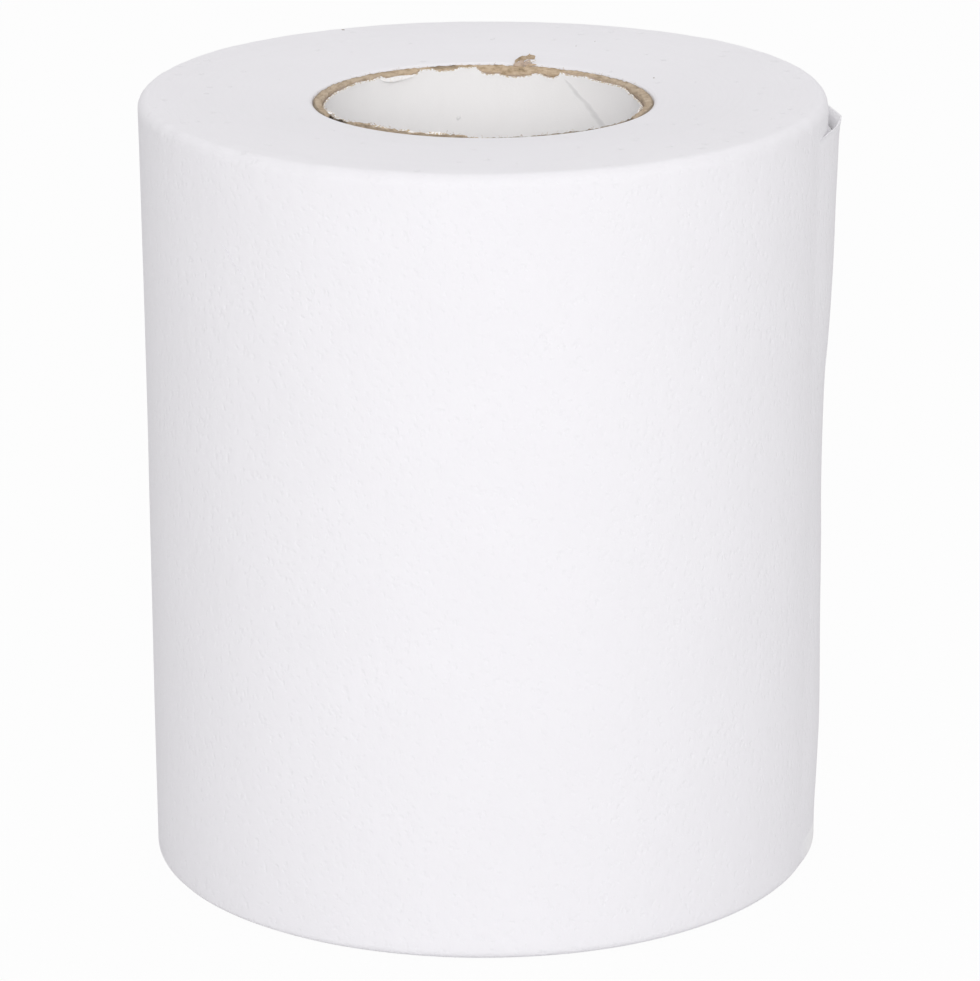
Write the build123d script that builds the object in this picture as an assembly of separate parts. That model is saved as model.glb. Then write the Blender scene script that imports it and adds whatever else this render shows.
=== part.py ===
"""A toilet paper roll standing on its end: tissue wound on a board tube that has a white inner ply."""

import os
from math import cos, pi, radians, sin

from build123d import *

# The winding. One modelled wrap stands for a few sheets of tissue.
roll_radius = 45.0
roll_height = 105.0
wrap = 0.4  # how much the spiral grows in one turn
rim_width = 1.5  # the soft upper rim, across and down
rim_drop = 2.0
rim_bands = 4
foot_radius = 1.0  # the tighter lower edge
foot_bands = 2
end_dish = 2.0  # how far the upper end sinks towards the tube

# The spiral of turns that shows on both ends, as one shallow groove.
turn_pitch = 4.0
groove_depth = 0.25
groove_width = 0.5  # half the groove's width, one depth above the surface
first_turn_margin = 1.0  # flat ring left beside the tube
last_turn_margin = 1.7  # flat ring left inside the rim

# The last wrap: it lifts off the roll at its root, stands away and comes back at its free end.
# Angles are in degrees, counter-clockwise from +X as seen from above.
tail_root = -18.0
tail_end = 35.0
tail_bite = 4.0  # how far the sheet reaches into the roll behind its root, in degrees
tail_gap = 2.0  # how far the free end stops short of the roll's step, in degrees
tail_clearance = 0.15  # between the sheet and the roll below it
tail_sink = 0.04  # how far the sheet's root lies below the roll's surface
tail_top_drop = 4.8  # from the roll's end down to the sheet's upper edge
tail_skew = 0.68  # below 1 the sheet stands off most near its root
tail_points = 9
# How far the last wrap stands off, from its foot to its top edge, at evenly spaced heights.
tail_standoff = (0.5, 0.75, 0.6, 1.9)

# The tube inside, from its outer face to its bore.
core_radius = 22.3
core_drop = 0.15  # how far the tube's rim lies below the paper beside it
board_wall = 1.2
liner_wall = 0.25
ply_clearance = 0.05  # between the winding and the board, and between the board and the liner

# Torn places on the rims: where the middle is in degrees, how wide in degrees and how deep.
liner_tears = (
    (26.0, 27.0, 1.5),
    (50.0, 20.0, 0.6),
    (64.0, 9.0, 1.2),
    (76.0, 15.0, 1.5),
    (99.0, 13.0, 0.4),
    (121.0, 22.0, 1.0),
    (163.0, 35.0, 1.5),
    (215.0, 16.0, 0.8),
)
board_nicks = (
    (206.0, 5.0, 0.9),
    (331.0, 6.0, 0.8),
    (78.0, 7.0, 0.5),
)
tear_slope = 0.6  # how wide a tear is at its bottom, as a share of its width at the rim

# Sizes that follow.
bore_radius = core_radius - board_wall - ply_clearance - liner_wall
core_top = roll_height - end_dish - core_drop
crest_radius = roll_radius - wrap - rim_width - last_turn_margin
end_slope = end_dish / (crest_radius - core_radius)
winding_bore = core_radius + ply_clearance


def polar(radius, angle, height=0.0):
    """A point at a radius and an angle about the roll's axis."""
    return Vector(radius * cos(radians(angle)), radius * sin(radians(angle)), height)


def half_turn(profile, side, shift):
    """Half a turn of a profile about a centre that is shifted along the line to the wrap's end.

    Two half turns about centres on either side of the axis follow each other as a spiral does.
    """
    start = tail_end + 180.0 * side
    centre = polar(shift if side else -shift, tail_end)
    return Pos(centre) * Rot(0, 0, start) * revolve(profile, Axis.Z, 180)


def rounded_corner(centre, width, height, start, bands):
    """A quarter of an ellipse as a few straight bands, from the angle where it starts."""
    points = []
    for band in range(bands + 1):
        angle = radians(start + 90.0 * band / bands)
        points.append((centre[0] + width * cos(angle), centre[1] + height * sin(angle)))
    return points


def winding_profile(outer):
    """Half section of the winding, with a soft upper rim and a tighter lower edge."""
    foot_centre = (outer - foot_radius, foot_radius)
    rim_centre = (outer - rim_width, roll_height - rim_drop)
    foot = rounded_corner(foot_centre, foot_radius, foot_radius, -90.0, foot_bands)
    rim = rounded_corner(rim_centre, rim_width, rim_drop, 0.0, rim_bands)
    outline = Polyline((0, 0), *foot, *rim, (0, roll_height), close=True)
    return Plane.XZ * make_face(outline)


def wound_body():
    """The whole winding, its outline a spiral that steps in by one wrap at the wrap's end."""
    inner_half = half_turn(winding_profile(roll_radius - 0.75 * wrap), 0, wrap / 4)
    outer_half = half_turn(winding_profile(roll_radius - 0.25 * wrap), 1, wrap / 4)
    return inner_half + outer_half


def end_height(radius):
    """Height of the upper end, which sinks evenly from the crest inside the rim to the tube."""
    return roll_height - end_slope * (crest_radius - radius)


def dish_cutter():
    """The space over the sunken upper end."""
    crest = (crest_radius, roll_height)
    middle = (0, end_height(0))
    above = (0, roll_height + end_dish)
    return revolve(Plane.XZ * make_face(Polyline(crest, middle, above, close=True)), Axis.Z)


def groove_profile(radius, surface, into):
    """A pointed groove at a radius, cut from a surface height downwards (-1) or upwards (1)."""
    tip = (radius, surface + into * groove_depth)
    lip = surface - into * groove_depth
    corners = [tip, (radius + groove_width, lip), (radius - groove_width, lip)]
    return Plane.XZ * make_face(Polyline(*corners, close=True))


def turn_grooves():
    """Cutters for the turns that show on the ends, from the tube out to the rim."""
    first = core_radius + first_turn_margin + groove_width
    halves = int((crest_radius - groove_width - first) / (turn_pitch / 2))
    cutters = []
    for half in range(halves):
        radius = first + half * turn_pitch / 2
        for surface, into in ((end_height(radius), -1), (0.0, 1)):
            profile = groove_profile(radius, surface, into)
            cutters.append(half_turn(profile, half % 2, turn_pitch / 4))
    return cutters


def tail_bed():
    """Cutter that takes one wrap off the roll under the lifted sheet."""
    floor = roll_radius - 1.25 * wrap - tail_clearance
    reach = roll_radius + wrap - floor
    section = Plane.XZ * Pos(floor + reach / 2, roll_height / 2) * Rectangle(reach, 2 * roll_height)
    ring = revolve(section, Axis.Z, tail_end - tail_root)
    return Pos(polar(wrap / 4, tail_end)) * Rot(0, 0, tail_root) * ring


def tail_section(height, standoff):
    """Outline of the lifted sheet at one height, from inside the roll to its free end."""
    centre = polar(wrap / 4, tail_end)
    sweep = tail_end - tail_gap - tail_root
    face_in = []
    face_out = []
    for step in range(tail_points):
        share = step / (tail_points - 1)
        angle = tail_root - tail_bite + share * (sweep + tail_bite)
        along = max(0.0, (angle - tail_root) / sweep)
        lift = standoff * sin(pi * along**tail_skew) ** 2
        outer = roll_radius - 0.25 * wrap - tail_sink + lift
        face_out.append(centre + polar(outer, angle, height))
        face_in.append(centre + polar(outer - wrap, angle, height))
    outside = Spline(*face_out)
    inside = Spline(*face_in)
    root = Line(inside @ 0, outside @ 0)
    free_end = Line(inside @ 1, outside @ 1)
    return make_face([outside, inside, root, free_end])


def tail_sheet():
    """The lifted last wrap, lofted from its foot up to its edge below the soft rim."""
    low = foot_radius
    high = roll_height - tail_top_drop
    sections = []
    for level, standoff in enumerate(tail_standoff):
        height = low + (high - low) * level / (len(tail_standoff) - 1)
        sections.append(tail_section(height, standoff))
    return loft(sections, ruled=True)


def make_winding():
    """Tissue wound up to its last wrap, as one solid."""
    body = wound_body() - dish_cutter() - Cylinder(winding_bore, 3 * roll_height)
    body = body - turn_grooves()
    body = body - tail_bed()
    return body + tail_sheet()


def tube(outer, wall, height):
    """A round tube standing on z = 0."""
    ring = Circle(outer) - Circle(outer - wall)
    return extrude(ring, height)


def rim_cutters(tears, radius):
    """Cutters for torn places in a tube's upper rim, each wider at the rim than below."""
    cutters = []
    for middle, width, depth in tears:
        half = radius * radians(width) / 2
        narrow = half * tear_slope
        above = core_top + depth
        below = core_top - depth
        corners = [(-narrow, below), (narrow, below), (2 * half - narrow, above), (narrow - 2 * half, above)]
        wall = Plane(origin=polar(radius / 2, middle), x_dir=polar(1, middle + 90), z_dir=polar(1, middle))
        sketch = wall * make_face(Polyline(*corners, close=True))
        cutters.append(extrude(sketch, radius))
    return cutters


def make_board():
    """The brown board tube."""
    return tube(core_radius, board_wall, core_top) - rim_cutters(board_nicks, core_radius)


def make_liner():
    """The white ply inside the board, torn back from the rim."""
    outer = core_radius - board_wall - ply_clearance
    return tube(outer, liner_wall, core_top) - rim_cutters(liner_tears, outer)


nodes = {
    "paper_winding": make_winding(),
    "core_board": make_board(),
    "core_liner": make_liner(),
}
os.makedirs("parts", exist_ok=True)
for name, solid in nodes.items():
    export_step(solid, f"parts/{name}.step")
    print(name, "solids", len(solid.solids()), "volume", round(solid.volume, 1))
print("bore radius", round(bore_radius, 3), "core top", round(core_top, 3))
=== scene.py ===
# %% [markdown]
# # A toilet paper roll on its end
# The roll is three things: tissue wound up, a brown board tube in the middle, and a thin white ply that lines
# the tube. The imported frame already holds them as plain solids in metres, so every piece made here lies in the
# same place and only gives it the looks: soft edges, creped paper, a torn rim and the lifted last wrap.

# %% Load the frame
from math import atan2, cos, degrees, pi, radians, sin

import bmesh
import bpy
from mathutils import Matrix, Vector, noise


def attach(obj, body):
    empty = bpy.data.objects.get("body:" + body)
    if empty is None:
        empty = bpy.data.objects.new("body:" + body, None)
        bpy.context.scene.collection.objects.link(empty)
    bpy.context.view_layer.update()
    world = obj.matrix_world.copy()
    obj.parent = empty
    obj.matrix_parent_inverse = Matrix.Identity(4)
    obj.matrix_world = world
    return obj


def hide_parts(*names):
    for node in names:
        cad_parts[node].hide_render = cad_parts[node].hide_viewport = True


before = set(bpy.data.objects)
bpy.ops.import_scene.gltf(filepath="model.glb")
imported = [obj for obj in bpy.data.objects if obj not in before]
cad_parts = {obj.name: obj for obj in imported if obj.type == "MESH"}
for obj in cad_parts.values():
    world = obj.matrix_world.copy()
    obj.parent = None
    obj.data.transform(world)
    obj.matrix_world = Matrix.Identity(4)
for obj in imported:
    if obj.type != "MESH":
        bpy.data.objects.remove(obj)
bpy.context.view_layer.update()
MM = 0.001

# %% [markdown]
# ## The camera
# A round roll gives its own ruler: the upper end is an ellipse, and its flatness is the sine of the camera's
# height angle. The way the sides lean together gives the distance. Both were worked out from the outline, so
# the camera needs no shift: it stands about 57 cm in front, 23 cm up, and looks down by 17.5 degrees.

# %% Camera
PHOTO_SIDE = 981  # the longer side of the frame, in pixels
FOCAL_LENGTH = 4445.3  # in pixels of that frame
SENSOR = 36.0
camera_data = bpy.data.cameras.new("photo_camera")
camera = bpy.data.objects.new("photo_camera", camera_data)
bpy.context.scene.collection.objects.link(camera)
camera.location = (0.0, -0.57074, 0.22932)
aim = Vector((0.00089, 0.0, 0.04924))
camera.rotation_euler = (aim - camera.location).to_track_quat("-Z", "Y").to_euler()
camera_data.sensor_width = SENSOR
camera_data.lens = SENSOR * FOCAL_LENGTH / PHOTO_SIDE
camera_data.clip_start = 0.01
bpy.context.scene.camera = camera
print("camera looks down by", round(degrees(atan2(camera.location.z - aim.z, -camera.location.y)), 2), "degrees")

# %% [markdown]
# ## One small class for node sums
# Both the finishes and the growing pieces are node trees, and a tree is easier to read as sums. `Wire` wraps a
# socket so that `1 - mask` or `radius * 2` adds the Math nodes. `Bench` adds every other node in one method:
# its type, its settings, then the values or links of its sockets.

# %% Wires
class Wire:
    """A socket that can be used in sums."""

    def __init__(self, bench, socket):
        self.bench = bench
        self.socket = socket

    def pick(self, name):
        """Another output of the node that this wire leaves."""
        return Wire(self.bench, self.socket.node.outputs[name])

    def math(self, operation, first, second=None):
        """One Math node; every sum below ends here."""
        sockets = {0: first} if second is None else {0: first, 1: second}
        return self.bench.node("ShaderNodeMath", {"operation": operation}, sockets)

    def __add__(self, other):
        return self.math("ADD", self, other)

    def __radd__(self, other):
        return self.math("ADD", other, self)

    def __sub__(self, other):
        return self.math("SUBTRACT", self, other)

    def __rsub__(self, other):
        return self.math("SUBTRACT", other, self)

    def __mul__(self, other):
        return self.math("MULTIPLY", self, other)

    def __rmul__(self, other):
        return self.math("MULTIPLY", other, self)

    def __truediv__(self, other):
        return self.math("DIVIDE", self, other)

    def __rtruediv__(self, other):
        return self.math("DIVIDE", other, self)

    def __pow__(self, other):
        return self.math("POWER", self, other)

    def sine(self):
        return self.math("SINE", self)

    def cosine(self):
        return self.math("COSINE", self)

    def floor(self):
        return self.math("FLOOR", self)

    def size(self):
        """The value without its sign."""
        return self.math("ABSOLUTE", self)


print("sums with +, -, *, / and ** ready")


# %% Bench
class Bench:
    """A node tree being built."""

    def __init__(self, tree):
        self.tree = tree

    def node(self, kind, settings=None, sockets=None, output=None):
        """Any node: its type, its settings, its inputs by name or number, and the output to go on with."""
        made = self.tree.nodes.new(kind)
        for name, value in (settings or {}).items():
            if name == "stops":
                self.set_stops(made.color_ramp, value)
            elif name == "points":
                self.set_points(made.mapping, value)
            else:
                setattr(made, name, value)
        for key, value in (sockets or {}).items():
            self.plug(self.find(made.inputs, key), value)
        return Wire(self, self.find(made.outputs, output))

    def find(self, sockets, key):
        """A socket by number or name, or the first one in use."""
        if isinstance(key, int):
            return sockets[key]
        for socket in sockets:
            if socket.enabled and (key is None or socket.name == key):
                return socket
        return None

    def plug(self, socket, value):
        """Link a wire to a socket, or set the socket's own value."""
        if isinstance(value, Wire):
            self.tree.links.new(value.socket, socket)
        else:
            socket.default_value = value

    def set_stops(self, ramp, stops):
        """Places and colours of a colour ramp."""
        while len(ramp.elements) < len(stops):
            ramp.elements.new(1.0)
        for element, (place, colour) in zip(ramp.elements, stops):
            element.position = place
            element.color = colour

    def set_points(self, mapping, points):
        """Points of a curve that passes softly through them."""
        curve = mapping.curves[0]
        while len(curve.points) < len(points):
            curve.points.new(0.5, 0.5)
        for point, place in zip(curve.points, points):
            point.location = place
            point.handle_type = "AUTO"
        mapping.update()

    def vector(self, x, y, z):
        """Three values as one vector."""
        return self.node("ShaderNodeCombineXYZ", {}, {"X": x, "Y": y, "Z": z})

    def stretch(self, vector, factors):
        """A vector times a factor for each axis."""
        return self.node("ShaderNodeVectorMath", {"operation": "MULTIPLY"}, {0: vector, 1: factors})

    def ramp(self, value, low, high, smooth=True):
        """0 below low, 1 above high, and an even or soft rise between them."""
        kind = "SMOOTHSTEP" if smooth else "LINEAR"
        return self.node("ShaderNodeMapRange", {"interpolation_type": kind},
                         {"Value": value, "From Min": low, "From Max": high})

    def grain(self, vector, scale, detail=2.0, rough=0.5):
        """Soft noise, about 0 to 1."""
        return self.node("ShaderNodeTexNoise", {},
                         {"Vector": vector, "Scale": scale, "Detail": detail, "Roughness": rough})

    def drift(self, vector, scale, amount):
        """A vector pushed about by noise, so that a regular pattern becomes irregular."""
        push = self.node("ShaderNodeTexNoise", {}, {"Vector": vector, "Scale": scale, "Detail": 1.0}, "Color")
        step = (amount, amount, amount)
        return self.node("ShaderNodeVectorMath", {"operation": "MULTIPLY_ADD"}, {0: push, 1: step, 2: vector})

    def cells(self, vector, scale):
        """Distance to the nearest of many scattered points."""
        return self.node("ShaderNodeTexVoronoi", {}, {"Vector": vector, "Scale": scale}, "Distance")

    def blend(self, factor, first, second):
        """From the first colour to the second."""
        return self.node("ShaderNodeMix", {"data_type": "RGBA"}, {"Factor": factor, "A": first, "B": second})


print("bench ready")

# %% [markdown]
# ## Studio
# White paper on white needs an even, pale room: a bright world gives most of the light, and one large soft
# lamp near the camera lifts the front so that the roundness reads. It stands low, because a high lamp would
# burn a bright line into the rim; a weaker lamp behind lights the upper end instead, and a faint one at the right
# lifts the loose wrap. The floor is pale and takes the shadow; towards the camera it is mostly its own white, so
# that the shadow stays faint. A very strong lamp on a grey floor would also make a white ground, but it would
# wash out the paper first.

# %% Material helpers
def new_material(name):
    """An empty material and the bench for its nodes."""
    material = bpy.data.materials.new(name)
    material.use_nodes = True
    material.node_tree.nodes.clear()
    return material, Bench(material.node_tree)


def close_material(bench, shader):
    """The last node of every finish."""
    bench.node("ShaderNodeOutputMaterial", {}, {"Surface": shader})


def seen_directly(bench):
    """1 where the camera, a mirror or glass looks at the surface."""
    path = bench.node("ShaderNodeLightPath")
    seen = path.pick("Is Camera Ray") + path.pick("Is Glossy Ray") + path.pick("Is Transmission Ray")
    return bench.node("ShaderNodeClamp", {}, {"Value": seen})


print("material helpers ready")

# %% Floor
bpy.context.scene.view_settings.view_transform = "Standard"
floor_mesh = bpy.data.meshes.new("floor")
floor_mesh.from_pydata([(-4, -4, 0), (4, -4, 0), (4, 4, 0), (-4, 4, 0)], [], [(0, 1, 2, 3)])
floor = bpy.data.objects.new("floor", floor_mesh)
bpy.context.scene.collection.objects.link(floor)
floor_paper, bench = new_material("pale_floor")
lit = bench.node("ShaderNodeBsdfDiffuse", {}, {"Color": (0.78, 0.78, 0.78, 1.0)})
own = bench.node("ShaderNodeEmission", {}, {"Color": (1.0, 1.0, 1.0, 1.0), "Strength": 1.0})
close_material(bench, bench.node("ShaderNodeMixShader", {}, {0: seen_directly(bench) * 0.95, 1: lit, 2: own}))
floor.data.materials.append(floor_paper)
print("floor finish:", len(bench.tree.nodes), "nodes")

# %% Room
world = bpy.data.worlds.new("studio")
world.use_nodes = True
world.node_tree.nodes.clear()
bench = Bench(world.node_tree)
room = bench.node("ShaderNodeBackground", {}, {"Color": (1.0, 0.99, 1.0, 1.0), "Strength": 0.592})
white = bench.node("ShaderNodeBackground", {}, {"Color": (1.0, 1.0, 1.0, 1.0), "Strength": 1.0})
backdrop = bench.node("ShaderNodeMixShader", {}, {0: seen_directly(bench), 1: room, 2: white})
bench.node("ShaderNodeOutputWorld", {}, {"Surface": backdrop})
bpy.context.scene.world = world
print("room light:", room.socket.node.inputs["Strength"].default_value)


# %% Lamps
def soft_lamp(name, place, size, power):
    """A round lamp in metres and watts that looks at the middle of the roll."""
    data = bpy.data.lights.new(name, "AREA")
    data.shape = "DISK"
    data.size = size
    data.energy = power
    lamp = bpy.data.objects.new(name, data)
    lamp.location = place
    lamp.rotation_euler = (Vector((0.0, 0.0, 0.05)) - lamp.location).to_track_quat("-Z", "Y").to_euler()
    bpy.context.scene.collection.objects.link(lamp)
    return lamp


front_lamp = soft_lamp("front_lamp", (0.03, -1.72, 0.66), 0.8, 13.2)
back_lamp = soft_lamp("back_lamp", (0.0, 0.95, 1.45), 0.9, 4.2)
side_lamp = soft_lamp("side_lamp", (1.5, -0.2, 0.6), 0.8, 0.6)
print("studio lamps in watts:", [round(lamp.data.energy, 1) for lamp in (front_lamp, back_lamp, side_lamp)])

# %% [markdown]
# ## Tissue finish
# Tissue is white fibre with no gloss. On the side it is creped: fine grain, soft waves and small dents. They
# are relief and not colour, so they fade where the light meets the paper head on, as crepe does. On the ends one
# sees the edges of the turns instead, as faint rings with a few short dents that grow wider towards the rim, and
# the dents are also painted darker, as painted shade. One finish does both, because it is one sheet: an attribute
# called `end_face` on the mesh says which is which, and a second attribute marks the faces round the pocket behind
# the loose wrap, which are painted whiter, as painted light in that shaded pocket.

# %% Tissue finish
def in_millimetres(bench):
    """The place on the piece, in millimetres."""
    return bench.stretch(bench.node("ShaderNodeTexCoord", {}, {}, "Object"), (1 / MM, 1 / MM, 1 / MM))


def carried(bench, name):
    """A value that the mesh carries."""
    return bench.node("ShaderNodeAttribute", {"attribute_name": name}, {}, "Fac")


tissue, bench = new_material("creped_tissue")
place = in_millimetres(bench)
across = bench.node("ShaderNodeSeparateXYZ", {}, {"Vector": place}, "X")
along_y = across.pick("Y")
radius = (across * across + along_y * along_y) ** 0.5
end_face = carried(bench, "end_face")

grain = bench.grain(place, 4.2, 3.0, 0.65)
dent_place = bench.drift(bench.stretch(place, (1.0, 1.0, 0.8)), 1.5, 0.9)
dents = 1 - bench.ramp(bench.cells(dent_place, 1.0), 0.05, 0.46)
waves = bench.grain(bench.stretch(place, (1.0, 1.0, 0.6)), 0.7, 2.0, 0.5)
patches = bench.grain(place, 0.09, 2.0, 0.5)
side_height = grain * 0.2 + waves * 1.0 - dents * (0.17 + patches * 0.65)

ring_place = bench.vector(across / radius * 1.6, along_y / radius * 1.6, radius * 1.9)
rings = bench.grain(ring_place, 1.0, 3.0, 0.6)
nick_reach = bench.ramp(radius, 30.0, 40.0) * 0.07 + 0.12
nicks = 1 - bench.ramp(bench.cells(bench.drift(place, 1.5, 0.9), 0.30), 0.04, nick_reach)
end_height = rings * 0.5 + grain * 0.25 - nicks * 1.0

relief = side_height * (1 - end_face) + end_height * end_face
# Grain and patches are the paper's own tone; the nicks are painted shade, a darker colour inside the dents on the
# ends.
tone_and_dent_shade = grain * 0.3 + patches * 0.7 - nicks * end_face * 1.5
paper_colour = bench.blend(tone_and_dent_shade, (0.893, 0.883, 0.910, 1.0), (0.928, 0.919, 0.947, 1.0))
# Painted light: the faces round the pocket behind the loose wrap get a whiter colour than the rest of the paper.
clean = carried(bench, "clean")
paper_colour = bench.blend(clean, paper_colour, (0.982, 0.978, 0.988, 1.0))
bump = bench.node("ShaderNodeBump", {}, {"Strength": 0.6, "Distance": 0.00014, "Height": relief})
sheet = bench.node("ShaderNodeBsdfPrincipled", {}, {
    "Base Color": paper_colour, "Roughness": 0.95 - grain * 0.1, "Specular IOR Level": 0.15,
    "Sheen Weight": 0.12, "Sheen Roughness": 0.6, "Normal": bump})
close_material(bench, sheet)
print("tissue finish:", len(bench.tree.nodes), "nodes")

# %% [markdown]
# ## Board and liner finishes
# The board is grey-brown pulp. Where it is torn it goes from golden fibres to dark brown, in specks of a
# few tenths of a millimetre, and it is yellower at the back, where the tear is fresh. Where its mark is above 1 it
# goes nearly black: painted shadow in the gap beside the paper, in the slots and where the rim sits low. The liner is
# smooth white paper with a soft grey where its two edges meet in a spiral; the mesh carries that as an attribute
# called `seam`, and the bared places and the painted shadow as a second attribute.

# %% Board finish
board, bench = new_material("torn_board")
place = in_millimetres(bench)
torn = carried(bench, "torn")
flakes = bench.grain(bench.stretch(place, (1.0, 1.0, 1.8)), 0.9, 3.0, 0.6)
pulp = bench.grain(place, 5.0, 3.0, 0.7)
brown = bench.node("ShaderNodeValToRGB", {"stops": [
    (0.28, (0.19, 0.14, 0.09, 1.0)), (0.37, (0.43, 0.32, 0.205, 1.0)),
    (0.50, (0.63, 0.485, 0.335, 1.0)), (0.70, (0.77, 0.64, 0.48, 1.0))]}, {"Fac": flakes * 0.7 + pulp * 0.3})
plain = bench.blend(pulp, (0.55, 0.44, 0.38, 1.0), (0.67, 0.55, 0.48, 1.0))
fresh = bench.ramp(bench.node("ShaderNodeSeparateXYZ", {}, {"Vector": place}, "Y"), 13.0, 21.0)
brown = bench.blend((1 - fresh) * 0.22, brown, (0.42, 0.40, 0.37, 1.0))
board_colour = bench.blend(torn, plain, brown)
# Painted shadow: where the mark is above 1 the colour goes towards black, for the gap beside the paper, the slots and
# a low rim.
board_colour = bench.blend(bench.ramp(torn, 1.0, 2.0), board_colour, (0.035, 0.030, 0.022, 1.0))
rough_pulp = pulp * 0.5 + flakes * torn
bump = bench.node("ShaderNodeBump", {}, {"Strength": 0.7, "Distance": 0.0003, "Height": rough_pulp})
close_material(bench, bench.node("ShaderNodeBsdfPrincipled", {}, {
    "Base Color": board_colour, "Roughness": 0.85 + pulp * 0.1, "Specular IOR Level": 0.2, "Normal": bump}))
print("board finish:", len(bench.tree.nodes), "nodes")

# %% Liner finish
liner, bench = new_material("white_liner")
place = in_millimetres(bench)
seam = carried(bench, "seam")
torn = carried(bench, "torn")
clouds = bench.grain(bench.stretch(place, (1.0, 1.0, 0.4)), 0.35, 3.0, 0.55)
fibre = bench.grain(place, 3.5, 2.0, 0.6)
white_ply = bench.blend(clouds, (0.955, 0.943, 0.940, 1.0), (0.985, 0.978, 0.976, 1.0))
with_seam = bench.blend(seam * (0.6 + fibre * 0.4), white_ply, (0.60, 0.595, 0.60, 1.0))
frayed = bench.blend(torn * bench.ramp(fibre, 0.45, 0.62), with_seam, (0.60, 0.48, 0.30, 1.0))
bump = bench.node("ShaderNodeBump", {}, {"Strength": 0.12, "Distance": 0.0002, "Height": fibre + clouds})
close_material(bench, bench.node("ShaderNodeBsdfPrincipled", {}, {
    "Base Color": frayed, "Roughness": 0.7 + fibre * 0.15, "Specular IOR Level": 0.25, "Normal": bump}))
print("liner finish:", len(bench.tree.nodes), "nodes")

# %% [markdown]
# ## Growing a piece from a rule
# Wound paper is a rule, not a drawing: the radius grows a little with every turn. So the winding, the last wrap,
# the liner's seam and the fibres are grown with Geometry Nodes. The tree gets its sizes as named inputs in
# millimetres, the result is turned into a plain mesh, and the modifier goes away again.

# %% Grow helper
SOCKETS = {int: "NodeSocketInt", float: "NodeSocketFloat"}


def new_growth(name, sizes):
    """A tree with one named input for each size, its bench, and a wire from each input."""
    tree = bpy.data.node_groups.new(name, "GeometryNodeTree")
    tree.interface.new_socket("Geometry", in_out="OUTPUT", socket_type="NodeSocketGeometry")
    for title, value in sizes.items():
        kind = SOCKETS.get(type(value), "NodeSocketObject")
        tree.interface.new_socket(title, in_out="INPUT", socket_type=kind)
    bench = Bench(tree)
    group = bench.tree.nodes.new("NodeGroupInput")
    return bench, {title: Wire(bench, group.outputs[title]) for title in sizes}


def close_growth(bench, geometry, material):
    """The last nodes of every tree: real geometry with its finish."""
    real = bench.node("GeometryNodeRealizeInstances", {}, {"Geometry": geometry})
    done = bench.node("GeometryNodeSetMaterial", {}, {"Geometry": real, "Material": material})
    bench.node("NodeGroupOutput", {"is_active_output": True}, {"Geometry": done})


def grow(name, bench, sizes):
    """Run the tree once and keep what it made as a plain mesh."""
    holder = bpy.data.objects.new(name, bpy.data.meshes.new(name))
    bpy.context.scene.collection.objects.link(holder)
    modifier = holder.modifiers.new("growth", "NODES")
    modifier.node_group = bench.tree
    for item in bench.tree.interface.items_tree:
        if item.in_out == "INPUT":
            modifier[item.identifier] = sizes[item.name]
    seen = bpy.context.evaluated_depsgraph_get()
    mesh = bpy.data.meshes.new_from_object(holder.evaluated_get(seen), depsgraph=seen)
    holder.modifiers.clear()
    holder.data = mesh
    mesh.name = name
    return holder


def finish_piece(piece, node=None):
    """Tie a piece to the roll and hide the solid that it stands for."""
    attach(piece, "root")
    if node:
        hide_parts(node)
    piece.data.calc_loop_triangles()
    print(piece.name, "triangles", len(piece.data.loop_triangles))


print("grow helper ready")


# %% Grid helpers
def even_grid(bench, columns, rows):
    """A flat grid and, for each point, its column and row from 0 to the last."""
    grid = bench.node("GeometryNodeMeshGrid", {}, {
        "Size X": 1.0, "Size Y": 1.0, "Vertices X": columns + 1, "Vertices Y": rows + 1}, "Mesh")
    spot = bench.node("GeometryNodeInputPosition")
    column = bench.node("ShaderNodeSeparateXYZ", {}, {"Vector": spot}, "X")
    return grid, column + 0.5, (column.pick("Y") + 0.5) * rows


def stages(bench, row, counts):
    """How far each stretch of a profile is done, from 0 to 1, for a number of rows in each."""
    done = []
    start = 0
    for count in counts:
        done.append(bench.ramp(row, float(start), float(start + count), False))
        start += count
    return done


def place_points(bench, grid, radius, angle, height):
    """Move the grid's points to a radius, an angle and a height, all in millimetres."""
    spot = bench.vector(radius * angle.cosine() * MM, radius * angle.sine() * MM, height * MM)
    return bench.node("GeometryNodeSetPosition", {}, {"Geometry": grid, "Position": spot})


def keep_attribute(bench, geometry, name, value):
    """Store a value on every point, for the finish to read."""
    return bench.node("GeometryNodeStoreNamedAttribute", {"data_type": "FLOAT", "domain": "POINT"},
                      {"Geometry": geometry, "Name": name, "Value": value})


def sew(bench, geometry, smooth=True):
    """Close the seams and shade the piece smoothly, or leave its faces flat."""
    closed = bench.node("GeometryNodeMergeByDistance", {}, {"Geometry": geometry, "Distance": 0.000002})
    return bench.node("GeometryNodeSetShadeSmooth", {}, {"Geometry": closed, "Shade Smooth": smooth})


print("grid helpers ready")

# %% [markdown]
# ## The wound tissue
# A grid is wrapped round the axis: its columns run once round, from the loose end back to the loose end, and
# its rows run along the section: out over the sunken end, round the soft rim, down the side, round the foot,
# in under the roll and up the bore. The radius grows by one sheet in a turn, so the outside is a true spiral.
# On the ends every turn is a small rounded bead that stands a little higher or lower than its neighbours.

# %% Winding sizes
ROLL = {
    "Roll radius": 44.95, "Inner level": 103.0, "Bore radius": 22.36, "Sheet": 0.2,
    "Rim width": 1.4, "Rim drop": 1.7, "Foot": 1.0, "Crown": 1.33, "Flare": 0.34,
    "Turn pitch": 1.05, "Turn relief": 0.04, "Crepe": 0.02, "Wobble": 0.10,
}
CROWN = [(0.0, 0.0), (0.2, 0.33), (0.45, 0.70), (0.7, 0.93), (0.84, 0.99), (0.93, 1.0), (1.0, 0.97)]
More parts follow.
